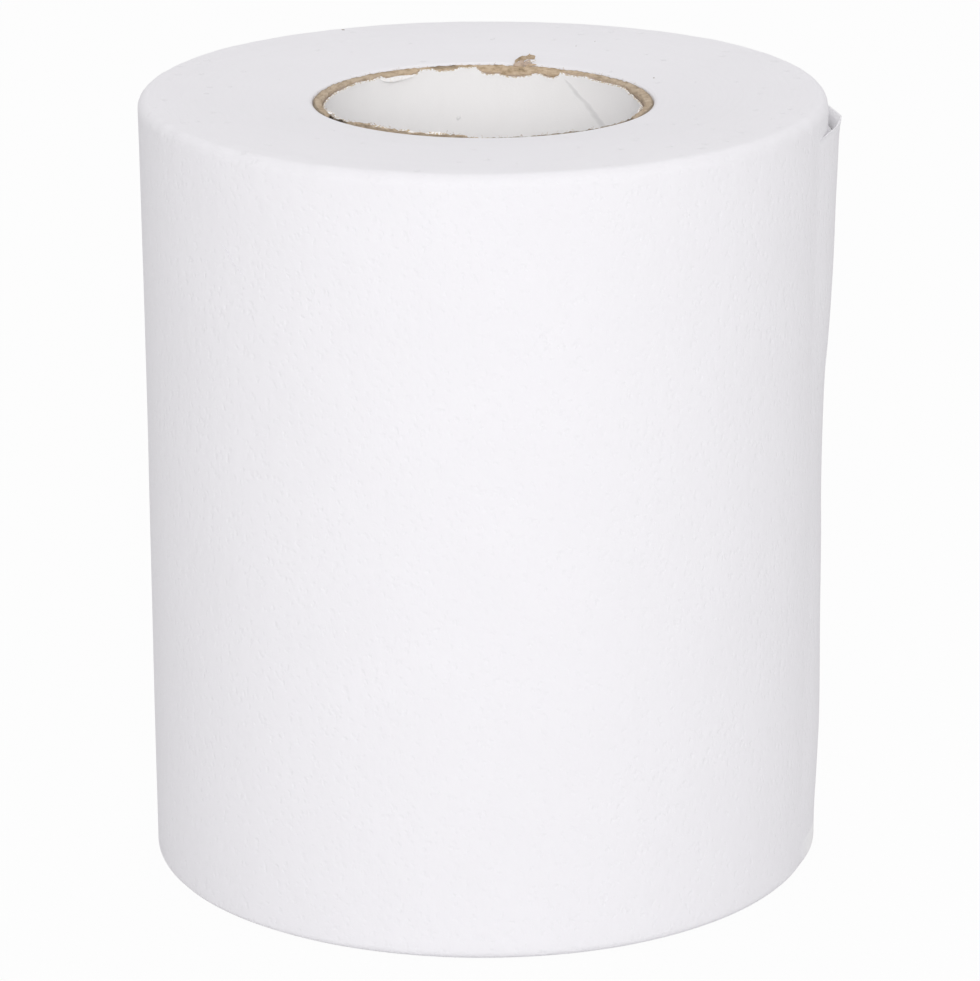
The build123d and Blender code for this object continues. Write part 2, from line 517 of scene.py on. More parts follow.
# Angles of the last wrap in degrees, counter-clockwise from +X as seen from above.
TAIL_END = 35.0
TAIL_ROOT = -18.0
FEATHER = 18.0  # how far the sheet thins out into the roll before its root
FREE_GAP = 1.5  # left open between the free end and the roll's step
# Heights in mm between which the wrap is held, near the upper rim and at the foot.
RIM_HOLD = (98.0, 100.2)
FOOT_HOLD = (1.8, 4.4)
COLUMNS = 360
ROWS = (104, 14, 96, 5, 28, 2)


print("winding rows", sum(ROWS), "columns", COLUMNS)


# %% Rules that the winding and its last wrap share
def flare(bench, height, most):
    """The roll is a little wider at its upper end than at mid height, and narrower at its foot."""
    wider = most * bench.ramp(height, 52.0, 103.0, False) ** 2.0
    return wider - 0.12 * (1 - bench.ramp(height, 0.0, 50.0, False))


def creping(bench, angle, height, radius):
    """A soft unevenness of the sheet, from -0.5 to 0.5, the same for the roll and its last wrap."""
    spot = bench.vector(angle.cosine() * radius, angle.sine() * radius, height * 0.45)
    fine = bench.grain(spot, 0.55, 2.0, 0.5)
    slow = bench.grain(spot, 0.06, 1.0, 0.5)
    return fine - 0.5, slow - 0.5


# The wrap's first trace, its root and its free end, as shares of a turn from the free end round to itself.
FIRST_TURN = (TAIL_ROOT - FEATHER - TAIL_END + 360.0) / 360.0
ROOT_TURN = (TAIL_ROOT - TAIL_END + 360.0) / 360.0
LAST_TURN = 1.0 - FREE_GAP / 360.0


def lift_place(bench, turn):
    """Where a turn lies between the wrap's root and its free end, with most of the room near the root."""
    return bench.ramp(turn, ROOT_TURN, LAST_TURN, False) ** 0.68


def low_bulge(bench, turn, level):
    """The foot of the roll stands out below the lifted wrap, so that the wrap rests on it there."""
    return (lift_place(bench, turn) * pi).sine() ** 2.0 * 0.6 * (1 - bench.ramp(level, 4.0, 16.0))


def crease(along):
    """A fold that is sharpest halfway along, from 0 to 1."""
    return (1 - (along * 2 - 1).size()) ** 1.5


def leaning(bench, turn, level):
    """The next sheets lean against the loose wrap, so that the pocket behind it is shallow."""
    lean = crease(lift_place(bench, turn)) * (1.1 + 0.4 * bench.ramp(level, 93.0, 98.0))
    return lean * bench.ramp(level, 70.0, 88.0) * (1 - bench.ramp(level, 97.4, 100.2))


print("the last wrap runs from turn", round(FIRST_TURN, 3), "to", round(LAST_TURN, 3))

# %% Winding section
bench, size = new_growth("wound_tissue", ROLL)
grid, turn, row = even_grid(bench, COLUMNS, sum(ROWS))
dish, rim, side, foot, base, bore = stages(bench, row, ROWS)
angle = turn * (2 * pi) + radians(TAIL_END)

crest = size["Roll radius"] - size["Rim width"]
span = crest - size["Bore radius"]
quarter = pi / 2
section = size["Bore radius"] + span * dish + size["Rim width"] * (rim * quarter).sine()
foot_uneven = 0.8 - (angle * 2).cosine() * 0.25 + bench.ramp((angle + 1.05).cosine(), 0.0, 1.0) * 0.35
foot_round = size["Foot"] * foot_uneven
section = section - foot_round * (1 - (foot * quarter).cosine())
section = section - (size["Roll radius"] - foot_round - size["Bore radius"]) * base
lip = 1 - bench.ramp(dish, 0.0, 0.025)
crown = bench.node("ShaderNodeFloatCurve", {"points": CROWN}, {"Factor": 1.0, "Value": dish})
shoulder = size["Inner level"] + size["Crown"] * CROWN[-1][1]
level = size["Inner level"] + size["Crown"] * crown - lip * 0.2
section = section + (lip * (1 - bore) + bench.ramp(bore, 0.5, 1.0, False)) * 0.05
level = level - size["Rim drop"] * (1 - (rim * quarter).cosine())
level = level - (shoulder - size["Rim drop"] - foot_round) * side
level = level - foot_round * (foot * quarter).sine()
level = level + (size["Inner level"] - 0.2) * bore
lean = angle.sine() * 0.43 + angle.cosine() * 0.20 + (angle * 2).cosine() * 0.125 - 0.195
round_place = bench.vector(angle.cosine(), angle.sine(), 0.3)
uneven = bench.grain(round_place, 5.5, 2.0, 0.5) * 0.40
uneven = uneven + bench.grain(round_place, 13.0, 1.0, 0.5) * 0.35 - 0.375
uneven = uneven * (1 - 0.65 * bench.ramp(angle.sine(), -0.5, 0.4))
lean = lean * bench.ramp(section, 24.0, 44.0) + uneven * bench.ramp(section, crest - 1.5, crest + 1.0)
level = level + lean * bench.ramp(level, 85.0, 103.0)
print("winding section:", len(bench.tree.nodes), "nodes")

# %% Room for the last wrap
clear = size["Sheet"] + 0.06 * (1 - bench.ramp(turn, 0.97, 1.0))
rim_kept = bench.ramp(level, 96.6, 98.0) * (1 - bench.ramp(turn, ROOT_TURN + 0.020, ROOT_TURN + 0.044))
foot_kept = (1 - bench.ramp(level, 4.5, 6.0)) * (1 - bench.ramp(turn, 0.985, 1.0))
step = 0.03 * rim_kept * (1 - bench.ramp(level, *RIM_HOLD)) + 0.03 * foot_kept * bench.ramp(level, *FOOT_HOLD)
under = clear * (1 - rim_kept - foot_kept) + step
under = bench.ramp(turn, FIRST_TURN + 5.0 / 360.0, ROOT_TURN) * under
fine, slow = creping(bench, angle, level, section)
outside = bench.ramp(section, crest - 8.0, crest)
growth = uneven * 0.4 * bench.ramp(level, 96.0, 103.0) + size["Sheet"] * (turn - 1) - under
growth = growth + flare(bench, level, size["Flare"]) + low_bulge(bench, turn, level)
growth = growth + leaning(bench, turn, level)
section = section + outside * (growth + slow * size["Wobble"] * 2.0 + fine * size["Crepe"])
print("with room for the last wrap:", len(bench.tree.nodes), "nodes")

# %% Turns on the ends
turns = (section - size["Bore radius"]) / size["Turn pitch"] - turn
count = turns.floor()
bead = 1 - ((turns - count) * 2 - 1).size() ** 2.5
walk = bench.vector(count + turn, 0.0, 0.0)
lift = bench.grain(walk, 1.7, 2.0, 0.6)
relief = size["Turn relief"] * ((lift - 0.5) * 1.6 + bead * lift * 0.9)
upper = bench.ramp(dish, 0.0, 0.03) * (1 - bench.ramp(rim, 0.2, 0.8))
lower = bench.ramp(base, 0.03, 0.08) * (1 - bench.ramp(bore, 0.0, 0.1))
level = level + relief * upper + (0.12 - relief) * 0.6 * lower

grid = keep_attribute(bench, grid, "end_face", (1 - bench.ramp(rim, 0.25, 0.75)) + bench.ramp(base, 0.0, 0.05))
# The roll's face under the loose wrap is marked for the painted light in the pocket.
covered = bench.ramp(turn, ROOT_TURN, ROOT_TURN + 0.02) * (1 - bench.ramp(level, 98.0, 100.0))
grid = keep_attribute(bench, grid, "clean", covered)
roll = place_points(bench, grid, section, angle, level)
roll = bench.node("GeometryNodeFlipFaces", {}, {"Mesh": sew(bench, roll)})
close_growth(bench, roll, tissue)
winding = grow("tissue_winding", bench, ROLL)
finish_piece(winding, "paper_winding")

# %% [markdown]
# ## The lifted last wrap
# At the right the last sheet has come loose. It leaves the roll a little towards the camera, stands off most
# near its upper edge, lies close to the roll at mid height and comes back to it behind. It could be one mesh with the
# winding, but a separate closed sheet is simpler: it starts as a feather edge flush with the roll, where the
# winding sinks by one sheet below it, so no step shows.

# %% Last wrap sizes
WRAP = {name: ROLL[name] for name in ("Roll radius", "Sheet", "Wobble", "Crepe", "Flare")}
WRAP.update({"Low": 1.7, "High": 100.6, "Standoff": 2.1})
# How far the wrap stands off, as a share of the most, from its foot to its upper edge.
STANDOFF = [
    (0.00, 0.30), (0.06, 0.34), (0.12, 0.42), (0.17, 0.46), (0.23, 0.43), (0.30, 0.37), (0.43, 0.30), (0.50, 0.22),
    (0.63, 0.23), (0.70, 0.40), (0.76, 0.54), (0.83, 0.62), (0.90, 0.63), (0.96, 0.70), (1.00, 0.86),
]
WRAP_COLUMNS = 110
FACE_ROWS = 90
EDGE_ROWS = 3
print("last wrap stands off by up to", WRAP["Standoff"], "mm")

# %% Last wrap tree
bench, size = new_growth("last_wrap", WRAP)
loop = (FACE_ROWS, EDGE_ROWS, FACE_ROWS, EDGE_ROWS)
grid, share, row = even_grid(bench, WRAP_COLUMNS, sum(loop))
front, upper, back, lower = stages(bench, row, loop)
rise = front - back
torn_edge = bench.grain(bench.vector(rise * 30.0, 0.0, 0.0), 1.0, 3.0, 0.6) - 0.5
turn = share * (LAST_TURN - FIRST_TURN) + FIRST_TURN + torn_edge * 0.003 * bench.ramp(share, 0.9, 1.0)
angle = turn * (2 * pi) + radians(TAIL_END)
level = size["Low"] + (size["High"] - size["Low"]) * rise
edge_wave = bench.grain(bench.vector(turn * 90.0, 0.0, 0.0), 1.0, 2.0, 0.5) - 0.5
level = level + edge_wave * 0.5 * bench.ramp(rise, 0.9, 1.0)

along = lift_place(bench, turn)
sharp = bench.ramp(rise, 0.93, 1.0)
arch = (along * pi).sine() ** 2.0 * (1 - sharp) + crease(along) * sharp
stand = bench.node("ShaderNodeFloatCurve", {"points": STANDOFF}, {"Factor": 1.0, "Value": rise})
stand = stand * size["Standoff"]
fine, slow = creping(bench, angle, level, size["Roll radius"])
outer = size["Roll radius"] + size["Sheet"] * (turn - 1) + slow * size["Wobble"] * 2.0 + fine * size["Crepe"]
free = bench.ramp(level, 3.0, 9.0)
outer = outer + flare(bench, level, size["Flare"]) + arch * stand * free
outer = outer + low_bulge(bench, turn, level) * (1 - free)
outer = outer - 0.06 * (1 - bench.ramp(turn, FIRST_TURN, FIRST_TURN + 8.0 / 360.0))
tucked = bench.ramp(level, *RIM_HOLD) * (1 - bench.ramp(turn, ROOT_TURN + 0.012, ROOT_TURN + 0.032))
outer = outer - 0.06 * (tucked + 1 - bench.ramp(level, *FOOT_HOLD))
body = bench.ramp(turn, FIRST_TURN, ROOT_TURN, False) * (1 - bench.ramp(share, 0.985, 1.0))
inward = bench.ramp(upper, 0.0, 1.0, False) - bench.ramp(lower, 0.0, 1.0, False)
section = outer - size["Sheet"] * body * inward

# The wrap's inner face is marked for the same painted light in the pocket.
grid = keep_attribute(bench, grid, "clean", bench.ramp(inward, 0.2, 0.8))
grid = keep_attribute(bench, grid, "end_face", 0.0)
loose = place_points(bench, grid, section, angle, level)
close_growth(bench, sew(bench, loose), tissue)
last_wrap = grow("last_wrap", bench, WRAP)
finish_piece(last_wrap)

# %% [markdown]
# ## The board tube
# The tube was cut in a hurry: its rim is ragged, higher at the front left and nicked in places. A tube is a
# grid that closes on itself both ways, so the points can be worked out in plain Python and handed over once.
# Each column is one place round the rim, and each row one place along the wall's section. The white liner is torn
# back from the rim to different depths. Its tears are listed first, by angle, width and depth, because the board
# shows its torn face only above them.

# %% Rim helpers
def wobble(angle, radius, scale, seed):
    """Smooth noise round a ring, from -1 to 1."""
    spot = Vector((cos(angle) * radius * scale, sin(angle) * radius * scale, seed))
    return noise.noise(spot)


def hump(angle, middle, width):
    """1 at the middle of an arc, falling softly to 0 at its ends, in degrees."""
    away = abs((degrees(angle) - middle + 180.0) % 360.0 - 180.0)
    return max(0.0, 1.0 - (2.0 * away / width) ** 2) if away < width / 2 else 0.0


def plateau(angle, middle, width, slope):
    """1 over an arc, with a slope in degrees at each end."""
    away = abs((degrees(angle) - middle + 180.0) % 360.0 - 180.0)
    return min(1.0, max(0.0, (width / 2 - away) / slope + 0.5))


print("rim helpers ready")


# %% Tube helpers
def piece_from(name, points, faces, material, marks):
    """A smooth mesh from points in mm; a mark is one value for all points, or a list with one for each."""
    mesh = bpy.data.meshes.new(name)
    mesh.from_pydata([Vector(point) * MM for point in points], [], faces)
    for mark, value in marks.items():
        values = value if isinstance(value, list) else [value] * len(points)
        mesh.attributes.new(mark, "FLOAT", "POINT").data.foreach_set("value", values)
    mesh.shade_smooth()
    mesh.materials.append(material)
    mesh.update()
    piece = bpy.data.objects.new(name, mesh)
    bpy.context.scene.collection.objects.link(piece)
    return piece


def bands(rows, first, second):
    """Faces between two columns of points, each closed round its section."""
    following = [(r, (r + 1) % rows) for r in range(rows)]
    return [(first * rows + r, second * rows + r, second * rows + up, first * rows + up) for r, up in following]


def closed_ring(name, columns, material, marks):
    """A piece from columns of points, closed round the ring and round each section."""
    rows = len(columns[0])
    faces = []
    for c in range(len(columns)):
        faces += bands(rows, c, (c + 1) % len(columns))
    return piece_from(name, [point for column in columns for point in column], faces, material, marks)


CORE_TOP = 102.85
BOARD_OUT = 22.3
BOARD_IN = 21.1
print("board wall", round(BOARD_OUT - BOARD_IN, 2), "mm")

# %% Torn edge of the liner
# Places on a rim are listed as the middle and the width in degrees, and how deep or high in mm.
LINER_OUT = 21.05
LINER_IN = 20.8
TEARS = [(8.0, 36.0, 0.95), (37.0, 27.0, 0.45), (53.0, 14.0, 0.36), (64.5, 8.5, 1.02), (70.5, 9.0, 0.70),
         (78.5, 16.0, 1.20), (86.3, 12.0, 0.98), (104.0, 10.0, 0.36), (122.5, 17.0, 0.72), (138.5, 16.0, 0.40),
         (170.0, 54.0, 0.66), (208.0, 12.0, 0.20), (240.0, 54.0, 0.62), (298.0, 68.0, 0.75), (337.0, 16.0, 0.70)]


def liner_rim(angle):
    """Height of the liner's torn edge."""
    depth = 0.02
    for middle, width, tear in TEARS:
        depth = max(depth, tear * hump(angle, middle, width) ** 0.4)
    ragged = 0.13 * wobble(angle, LINER_IN, 0.8, 2.2) + 0.09 * wobble(angle, LINER_IN, 2.6, 9.4)
    return CORE_TOP - depth + ragged * min(1.0, depth * 1.5 + 0.2)


deepest = max(tear for middle, width, tear in TEARS)
print("liner wall", round(LINER_OUT - LINER_IN, 2), "mm, torn back by up to", deepest, "mm")

# %% Board rim
NICKS = [(78.0, 8.0, 0.05), (246.0, 4.0, 0.25), (172.0, 5.0, 0.15)]
HUMPS = [(228.0, 44.0, 0.34), (254.0, 30.0, 0.30), (186.0, 20.0, 0.10), (299.0, 64.0, 0.03), (322.0, 36.0, -0.12),
         (95.0, 14.0, 0.03)]
SLOTS = [(209.5, 14.0, 1.8), (331.0, 7.0, 0.6)]
# Arcs whose torn face gets painted shadow: a shadowed slot at the back and the gap at the front right.
SHADOWED_ARCS = [(104.0, 9.0, 0.4), (300.0, 56.0, 0.45)]  # the last value is how much darker the torn face is


def slot_depth(angle):
    """How deep the outer plies of the board are missing beside the paper."""
    return sum(depth * plateau(angle, middle, width, 2.0) for middle, width, depth in SLOTS)


def board_rim(angle):
    """Height of the board's ragged rim."""
    ragged = 0.10 * wobble(angle, BOARD_OUT, 0.55, 3.1) + 0.07 * wobble(angle, BOARD_OUT, 1.9, 7.7)
    level = CORE_TOP + ragged * (1.0 - 0.7 * plateau(angle, 299.0, 60.0, 6.0))
    fray = plateau(angle, 238.0, 62.0, 6.0)
    level += fray * (0.22 * wobble(angle, BOARD_OUT, 0.9, 6.1) + 0.15 * wobble(angle, BOARD_OUT, 2.4, 2.9))
    for middle, width, depth in NICKS:
        level -= depth * plateau(angle, middle, width, 2.0)
    for middle, width, rise in HUMPS:
        level += rise * hump(angle, middle, width)
    return level


print("board rim at the front left:", round(board_rim(radians(228.0)), 2), "mm")


# %% Board section
def board_section(angle):
    """The wall's section as radius, height and torn mark, painted shadow above 1, from the foot up outside and down
    inside.
    """
    top = board_rim(angle)
    inner_top = top - 0.12 - 0.22 * abs(wobble(angle, BOARD_IN, 0.9, 5.2))
    section = [(BOARD_OUT, z, 0.0) for z in (0.1, 12.0, 40.0, 70.0, 92.0, 97.0, 99.4, 100.4, 100.8)]
    for share in (0.35, 0.7, 0.93):
        low = top - slot_depth(angle)
        # The walls of a slot get painted shadow: their mark rises to 1.5, which darkens them towards black.
        section.append((BOARD_OUT - 0.05 * share, 100.9 + (low - 100.9) * share, 1.5 * share))
    for share in (0.08, 0.3, 0.52, 0.74, 0.93):
        ridge = 0.13 * wobble(angle, 18.0 + 4.0 * share, 1.7, 11.0 + share)
        r = BOARD_OUT - 0.06 + (BOARD_IN - BOARD_OUT + 0.06) * share
        missing = slot_depth(angle) * (1.0 if share < 0.6 else 0.22)
        # Painted shadow on the torn face: 1.45 at the row beside the paper, more in a slot, where the rim sits low,
        # and on the listed arcs.
        torn_plus_shadow = 1.45 if share < 0.1 else 1.0
        torn_plus_shadow += min(1.0, slot_depth(angle)) + min(0.6, max(0.0, 2.5 * (CORE_TOP - 0.15 - top)))
        torn_plus_shadow += sum(more * plateau(angle, middle, width, 2.0) for middle, width, more in SHADOWED_ARCS)
        section.append((r, top + (inner_top - top) * share + ridge - missing, torn_plus_shadow))
    for drop in (0.2, 0.5, 0.8, 1.1, 1.4, 1.8, 2.3):
        flake = 0.16 * noise.noise(Vector((cos(angle) * 26, sin(angle) * 26, drop * 1.5)))
        bare = 1.0 if inner_top - drop > liner_rim(angle) else 0.0
        section.append((BOARD_IN + min(0.14, max(-0.02, flake)), inner_top - drop, bare))
    return section + [(BOARD_IN, z, 0.0) for z in (98.5, 92.0, 70.0, 40.0, 12.0, 0.1)]


print("board section:", len(board_section(0.0)), "points")


# %% Board tube
def ring_of(name, count, section_at, material, mark):
    """A closed ring from a section that is worked out at each angle."""
    columns = []
    marks = []
    for step in range(count):
        angle = 2 * pi * step / count
        section = section_at(angle)
        columns.append([(r * cos(angle), r * sin(angle), z) for r, z, torn in section])
        marks += [torn for r, z, torn in section]
    return closed_ring(name, columns, material, {mark: marks})


board_tube = ring_of("board_tube", 720, board_section, board, "torn")
finish_piece(board_tube, "core_board")

# %% [markdown]
# ## The white liner
# The liner is thin white paper glued into the board. At the rim it is torn back, so brown board shows above it,
# most at the back and at the right, and noise makes the torn edge ragged. Close to a tear the ply has let go of
# the board and leans in a little.

# %% Liner
def liner_section(angle):
    """The ply's section, from its foot up behind and down its white face."""
    top = liner_rim(angle)
    curl = max(0.0, 0.05 + 0.10 * wobble(angle, LINER_IN, 0.5, 4.0))
    section = [(LINER_OUT, z, 0.0) for z in (0.12, 30.0, 60.0, 90.0, 98.0)]
    section += [(LINER_OUT - 0.02, top - 0.6, 0.0), (LINER_OUT - 0.04 - 0.5 * curl, top - 0.1, 0.5)]
    section += [(LINER_OUT - 0.08 - curl, top, 1.0), (LINER_IN + 0.06 - curl, top - 0.02, 1.0)]
    for drop, fade in ((0.10, 0.9), (0.22, 0.7), (0.4, 0.4), (0.65, 0.2), (1.0, 0.05)):
        section.append((LINER_IN - curl * fade, top - drop, fade if drop < 0.2 else 0.0))
    levels = (1.5, 2.2, 3.2, 4.6, 6.5, 9.0, 13.0, 20.0, 32.0, 48.0, 66.0, 84.0)
    return section + [(LINER_IN, top - drop, 0.0) for drop in levels] + [(LINER_IN, 0.12, 0.0)]


liner_ply = ring_of("liner_ply", 720, liner_section, liner, "torn")
finish_piece(liner_ply, "core_liner")

# %% [markdown]
# ## The spiral seam of the liner
# The liner is a strip wound slowly up the tube, so its edges meet in a line that climbs round the bore. A groove
# would need a very fine mesh along the whole tube. A thin strip that follows the spiral is lighter and keeps its
# edges crisp: Geometry Nodes turn a spiral path into a ribbon that is flush with the ply.

# %% Liner seam
SEAM = {"Radius": 20.793, "Start angle": 58.6, "Pitch": 104.0, "Upper end": 101.9, "Lower end": 0.4,
        "Narrow": 0.6, "Wide": 2.6, "Strip": 0.01}
bench, size = new_growth("liner_seam", SEAM)
loop = (6, 1, 6, 1)
grid, share, row = even_grid(bench, 420, sum(loop))
face, edge, back, close = stages(bench, row, loop)
below = share * (size["Upper end"] - size["Lower end"])
level = size["Upper end"] - below
pointed = bench.ramp(share, 0.0, 0.005) * (1 - bench.ramp(share, 0.995, 1.0))
half = (size["Narrow"] + (size["Wide"] - size["Narrow"]) * bench.ramp(below, 0.0, 7.0, False)) * 0.5 * pointed
uneven = bench.grain(bench.vector(below * 0.8, 0.0, 0.0), 1.0, 2.0, 0.6) - 0.5
offset = (face - back) * 2 - 1
angle = size["Start angle"] * radians(1.0) - below / size["Pitch"] * (2 * pi)
angle = angle + offset * half / size["Radius"] + uneven * 1.8 / size["Radius"]
section = size["Radius"] + size["Strip"] * (edge - close) * pointed
grid = keep_attribute(bench, grid, "seam", (1 - offset * offset) ** 0.8 * (0.5 + uneven * 0.6))
grid = keep_attribute(bench, grid, "torn", 0.0)
ribbon = place_points(bench, grid, section, angle, level)
ribbon = bench.node("GeometryNodeFlipFaces", {}, {"Mesh": sew(bench, ribbon, False)})
close_growth(bench, ribbon, liner)
liner_seam = grow("liner_seam", bench, SEAM)
finish_piece(liner_seam)

# %% [markdown]
# ## The peeled flap
# At the back left a tongue of the liner has peeled off and hangs in the bore, with its own small shadow. It is a
# crescent: its upper edge stays on the torn edge, and its lower edge swings inwards and down.

# %% Peeled flap
def set_outwards(piece):
    """Turn the faces of a closed piece so that they all point out."""
    work = bmesh.new()
    work.from_mesh(piece.data)
    bmesh.ops.recalc_face_normals(work, faces=work.faces)
    work.to_mesh(piece.data)
    work.free()
    return piece


def closed_sheet(name, columns, material, marks):
    """A piece from columns of points that close on themselves, with the first and last column capped."""
    rows = len(columns[0])
    last = len(columns) - 1
    faces = [tuple(range(rows))[::-1], tuple(last * rows + r for r in range(rows))]
    for c in range(last):
        faces += bands(rows, c, c + 1)
    return set_outwards(piece_from(name, [point for column in columns for point in column], faces, material, marks))


FLAP_FROM = 132.0
FLAP_TO = 115.5
columns = []
for step in range(49):
    share = step / 48
    angle = radians(FLAP_FROM + (FLAP_TO - FLAP_FROM) * share)
    swell = max(0.02, sin(pi * share ** 0.85)) ** 0.8
    root = CORE_TOP - 0.52 - 0.05 * sin(9 * share)
    hang = 0.60 * swell + 0.05 * wobble(angle, 20.0, 2.0, 8.0)
    inner = []
    outer = []
    for part in range(7):
        down = part / 6
        reach = 0.06 + 0.48 * swell * down ** 0.7
        thick = 0.06 * (1 - 0.7 * down)
        level = root + 0.12 * swell * sin(pi * down) - hang * down
        face = LINER_IN - reach
        inner.append((face * cos(angle), face * sin(angle), level))
        outer.append(((face + thick) * cos(angle), (face + thick) * sin(angle), level - thick))
    columns.append(inner + outer[::-1])
flap = closed_sheet("liner_flap", columns, liner, {"seam": 0.0, "torn": 0.15})
finish_piece(flap)

# %% [markdown]
# ## The tuft of torn board
# At the back a few flakes of the board and a sliver of the liner have been pulled up and curl over the paper, like a
# small claw. Each is a narrow leaf that bends as it rises, so a few short paths with a width are enough.

# %% Leaf helper
LEAF_PARTS = 24
LEAF_CORNERS = (-1.0, -0.4, 0.4, 1.0)
LEAF_FACING = Vector((0.35, -1.0, 0.55))  # roughly towards the camera, so that a leaf shows its broad face


def flake(name, path, width, thick, belly, torn, material):
    """A bent leaf along a path of points in mm, widest at the belly, which is a share of its length."""
    points = [Vector(point) for point in path]
    curve_points = []
    for part in range(LEAF_PARTS + 1):
        place = part / LEAF_PARTS * (len(points) - 1)
        i = min(int(place), len(points) - 2)
        t = place - i
        before = points[max(0, i - 1)]
        after = points[min(len(points) - 1, i + 2)]
        a, b = points[i], points[i + 1]
        curve_points.append(0.5 * ((2 * a) + (b - before) * t + (2 * before - 5 * a + 4 * b - after) * t * t
                                   + (3 * a - before - 3 * b + after) * t ** 3))
    columns = []
    for part, spot in enumerate(curve_points):
        share = part / LEAF_PARTS
        ahead = curve_points[min(LEAF_PARTS, part + 1)] - curve_points[max(0, part - 1)]
        side = ahead.cross(LEAF_FACING).normalized()
        lift = side.cross(ahead).normalized()
        swell = 1.0 - 0.85 * ((share - belly) / max(belly, 1.0 - belly)) ** 2
        half = width * swell * (1 + 0.4 * noise.noise(spot * 2.6)) / 2
        thin = thick * (1 - 0.6 * share)
        section = []
        for face, corners in ((thin / 2, LEAF_CORNERS), (-thin / 2, LEAF_CORNERS[::-1])):
            for corner in corners:
                rough = 0.08 * noise.noise(spot * 4 + side * corner)
                section.append(spot + side * half * corner + lift * (face + rough))
        columns.append(section)
    return closed_sheet(name, columns, material, {"torn": torn, "seam": 0.0})


print("a leaf has", LEAF_PARTS + 1, "sections of", 2 * len(LEAF_CORNERS), "points")

# %% Tuft
# Each flake's path, then its width, thickness, belly, how torn it is (above 1 the board's colour also darkens), and
# its material.
FLAKES = [
    ([(4.3, 21.7, 102.9), (4.45, 22.1, 103.3), (4.8, 22.4, 103.52), (5.25, 22.5, 103.64), (5.85, 22.6, 103.72),
      (6.44, 22.6, 103.84), (7.03, 22.5, 103.76)], 0.62, 0.14, 0.75, 1.3, board),
    ([(6.0, 22.6, 103.7), (6.2, 22.6, 103.98), (6.33, 22.6, 104.3)], 0.36, 0.10, 0.2, 1.3, board),
    ([(5.2, 21.6, 102.72), (5.2, 21.75, 103.0), (5.2, 21.9, 103.2), (5.15, 22.05, 103.5)],
     2.1, 0.12, 0.0, 0.35, board),
    ([(6.0, 21.4, 102.75), (6.1, 21.6, 102.98), (6.2, 21.85, 103.25), (6.3, 22.1, 103.5)],
     1.2, 0.10, 0.2, 0.3, board),
    ([(6.0, 21.6, 103.36), (6.35, 21.55, 103.43), (6.78, 21.55, 103.52), (7.08, 21.6, 103.61)],
     0.16, 0.08, 0.6, 0.9, liner),
    ([(5.67, 21.5, 102.84), (6.27, 21.3, 103.0), (6.78, 21.15, 103.07), (7.24, 21.0, 103.09)],
     0.26, 0.10, 0.5, 0.9, board),
]
frayed = []
for number, (path, width, thick, belly, torn, material) in enumerate(FLAKES):
    piece = flake(f"torn_flake_{number + 1}", path, width, thick, belly, torn, material)
    finish_piece(piece)
    if torn > 0.5:
        frayed.append(piece)

# %% [markdown]
# ## Leaves along the front of the rim
# At the front left the rim is not cut but torn: small leaves of board and liner stand up behind the paper, each a
# few millimetres long. They are the same bent leaves as the tuft, laid along the rim.

# %% Rim leaves
def rim_leaf(name, middle, span, rise, width, material):
    """A leaf along the rim about an angle in degrees, rising towards its middle."""
    path = []
    for part in range(5):
        angle = radians(middle + span * (part / 4 - 0.5))
        r = 21.25 + 0.25 * sin(pi * part / 4)
        path.append((r * cos(angle), r * sin(angle), CORE_TOP - 0.1 + rise * sin(pi * (0.1 + 0.75 * part / 4))))
    return flake(name, path, width, 0.10, 0.6, 1.0, material)


LEAVES = [(222.5, 8.0, 0.30, 0.34, board), (231.5, 8.0, 0.42, 0.36, liner), (236.5, 7.0, 0.24, 0.34, board),
          (242.5, 7.0, 0.40, 0.34, liner), (248.0, 6.0, 0.22, 0.30, board), (253.5, 9.0, 0.40, 0.42, liner),
          (261.5, 6.0, 0.22, 0.26, board), (201.0, 4.0, 0.36, 0.40, liner)]
for number, (middle, span, rise, width, material) in enumerate(LEAVES):
    piece = rim_leaf(f"rim_leaf_{number + 1}", middle, span, rise, width, material)
    finish_piece(piece)

# %% [markdown]
# ## Torn fibres
# Torn pulp never ends in a clean line: hundreds of short fibres stand out of it. They follow the torn surface,
# so Geometry Nodes scatter points on it where the mesh is marked as torn, put one bent fibre on each, and turn
# and size it at random from a fixed seed.

# %% Fibre tree
FIBRES = {"Surface": board_tube, "Fibres per mm2": 2.2, "Length": 0.34, "Thickness": 0.030, "Seed": 5}


